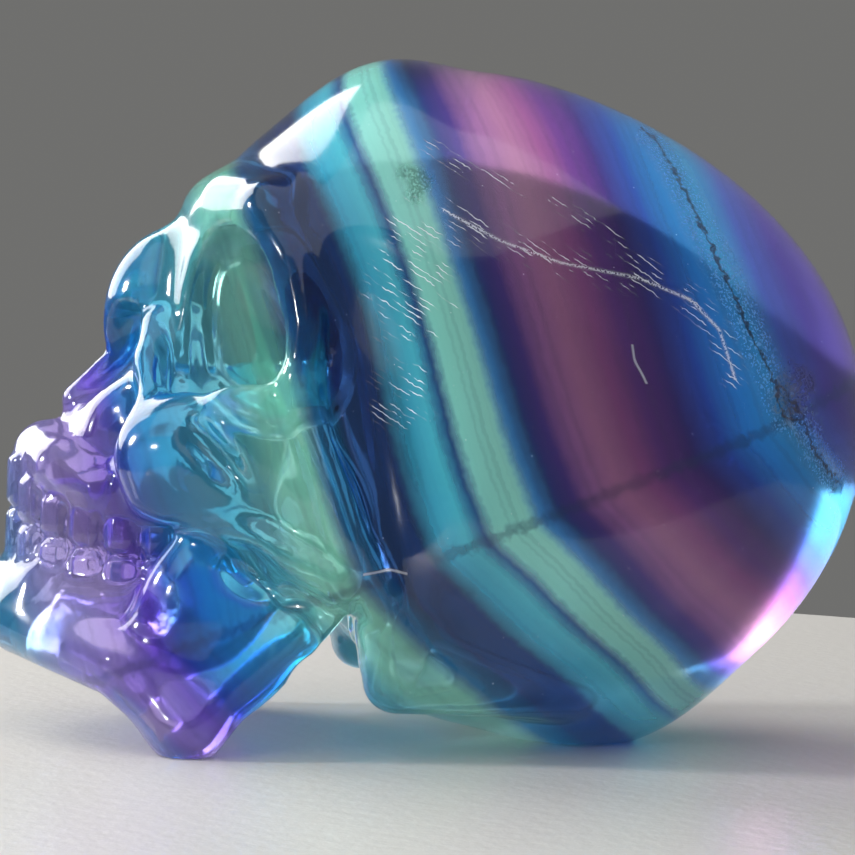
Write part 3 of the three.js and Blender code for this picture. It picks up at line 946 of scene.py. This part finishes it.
def view_axes(azimuth, elevation):
    """Unit vectors to the right, up and back towards a viewer round the stone."""
    back = Vector(
        (
            math.sin(azimuth) * math.cos(elevation),
            -math.cos(azimuth) * math.cos(elevation),
            math.sin(elevation),
        )
    )
    right = Vector((0, 0, 1)).cross(back).normalized()
    return right, back.cross(right), back


def placed(name, data, right, up, back, spot):
    """A new camera or light at a spot, looking against back."""
    thing = bpy.data.objects.new(name, data)
    rows = [(right[k], up[k], back[k], spot[k]) for k in range(3)]
    thing.matrix_world = Matrix([*rows, (0, 0, 0, 1)])
    bpy.context.scene.collection.objects.link(thing)
    return thing


def set_camera(settings):
    """The photograph's viewpoint."""
    right, up, back = view_axes(settings.camera_azimuth, settings.camera_elevation)
    c, s = math.cos(settings.camera_roll), math.sin(settings.camera_roll)
    aim = Vector((0, -CENTRE_Y * MM, settings.aim_height))
    data = bpy.data.cameras.new("camera")
    data.sensor_width = SENSOR_WIDTH
    data.lens = SENSOR_WIDTH * settings.camera_distance / settings.view_width
    data.clip_start = 1 * MM
    spot = aim + back * settings.camera_distance
    bpy.context.scene.camera = placed("camera", data, right * c + up * s, up * c - right * s, back, spot)


def hang_light(name, azimuth, elevation, distance, side, watts, colour):
    """A square soft light that faces the stone."""
    right, up, back = view_axes(math.radians(azimuth), math.radians(elevation))
    data = bpy.data.lights.new(name, "AREA")
    data.size = side * MM
    data.energy = watts
    data.color = colour
    placed(name, data, right, up, back, Vector((0, 0, LIGHT_AIM)) + back * distance * MM)


def floor_material(colour):
    """Pale floor with a faint grain."""
    material = bpy.data.materials.new("pale_floor")
    material.use_nodes = True
    nodes = Nodes(material.node_tree)
    shader = material.node_tree.nodes["Principled BSDF"]
    place = nodes.add("ShaderNodeTexCoord").outputs["Object"]
    grain = nodes.noise(place, FLOOR_GRAIN, FLOOR_GRAIN_DETAIL)
    relief = nodes.add("ShaderNodeBump", {"Height": grain, **FLOOR_RELIEF})
    nodes.feed(shader.inputs["Base Color"], colour)
    nodes.feed(shader.inputs["Roughness"], FLOOR_ROUGHNESS)
    nodes.feed(shader.inputs["Normal"], relief.outputs[0])
    return material


def lay_floor(settings):
    """The round floor, level with the stone's three flats."""
    radius = settings.floor_width / 2
    angles = [math.tau * k / FLOOR_CORNERS for k in range(FLOOR_CORNERS)]
    rim = [(radius * math.cos(angle), radius * math.sin(angle), 0) for angle in angles]
    mesh = bpy.data.meshes.new("floor")
    mesh.from_pydata(rim, [], [range(FLOOR_CORNERS)])
    mesh.materials.append(floor_material(settings.floor_colour))
    floor = bpy.data.objects.new("floor", mesh)
    bpy.context.scene.collection.objects.link(floor)


def light_room(grey):
    """An even grey room all round."""
    room = bpy.data.worlds.new("room")
    room.use_nodes = True
    room.node_tree.nodes["Background"].inputs["Color"].default_value = (grey, grey, grey * ROOM_WARMTH, 1)
    bpy.context.scene.world = room


def stone_mesh(points, quads):
    """The stone's smooth mesh in metres, held inside the solid's box."""
    held = np.clip(points * MM, np.array(CAD_LOW), np.array(CAD_HIGH))
    mesh = bpy.data.meshes.new("fluorite_skull")
    mesh.vertices.add(len(held))
    mesh.vertices.foreach_set("co", held.astype(np.float32).ravel())
    mesh.loops.add(quads.size)
    mesh.loops.foreach_set("vertex_index", quads.astype(np.int32).ravel())
    mesh.polygons.add(len(quads))
    mesh.polygons.foreach_set("loop_start", np.arange(0, quads.size, 4, dtype=np.int32))
    mesh.update(calc_edges=True)
    if mesh.validate():
        raise RuntimeError("the stone's mesh isn't sound")
    mesh.polygons.foreach_set("use_smooth", np.ones(len(quads), dtype=bool))
    return mesh


class FLUORITE_OT_skull(bpy.types.Operator):
    """Build the carved fluorite skull"""

    bl_idname = "fluorite.skull"
    bl_label = "Carved skull"

    def execute(self, context):
        settings = context.scene.fluorite_stone
        points, quads = surface_nets(settings.mesh_step / MM * (1))
        points = settle(points)
        points[:, 1] -= CENTRE_Y
        mesh = stone_mesh(points, quads)
        mesh.materials.append(fluorite_material(settings))
        for group, values in side_fields(points).items():
            layer = mesh.attributes.new(group, "FLOAT_VECTOR", "POINT")
            layer.data.foreach_set("vector", np.stack(values, axis=1).astype(np.float32).ravel())
        skull = bpy.data.objects.new("fluorite_skull", mesh)
        context.scene.collection.objects.link(skull)
        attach(skull, "root")
        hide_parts(CAD_NODE)
        return {"FINISHED"}


class FLUORITE_OT_studio(bpy.types.Operator):
    """Set the camera, the pale floor and the soft light"""

    bl_idname = "fluorite.studio"
    bl_label = "Studio"

    def execute(self, context):
        settings = context.scene.fluorite_studio
        set_camera(settings)
        lay_floor(settings)
        for light in LIGHTS:
            hang_light(*light)
        light_room(settings.room_grey)
        context.scene.view_settings.view_transform = "Standard"
        return {"FINISHED"}


class FLUORITE_PT_build(bpy.types.Panel):
    """Lists the studio and the skull"""

    bl_label = "Fluorite skull"
    bl_idname = "FLUORITE_PT_build"
    bl_space_type = "VIEW_3D"
    bl_region_type = "UI"
    bl_category = "Fluorite"

    def draw(self, context):
        for operator in OPERATORS:
            self.layout.operator(operator.bl_idname)


OPERATORS = (FLUORITE_OT_studio, FLUORITE_OT_skull)
CLASSES = (StoneSettings, StudioSettings, *OPERATORS, FLUORITE_PT_build)


def register():
    """Adds the settings, the operators and the panel."""
    for item in CLASSES:
        bpy.utils.register_class(item)
    bpy.types.Scene.fluorite_stone = bpy.props.PointerProperty(type=StoneSettings)
    bpy.types.Scene.fluorite_studio = bpy.props.PointerProperty(type=StudioSettings)


def unregister():
    """Takes them away again."""
    del bpy.types.Scene.fluorite_studio
    del bpy.types.Scene.fluorite_stone
    for item in reversed(CLASSES):
        bpy.utils.unregister_class(item)


def main():
    """Builds the studio and the skull."""
    register()
    bpy.ops.fluorite.studio()
    bpy.ops.fluorite.skull()


if __name__ == "__main__":
    main()
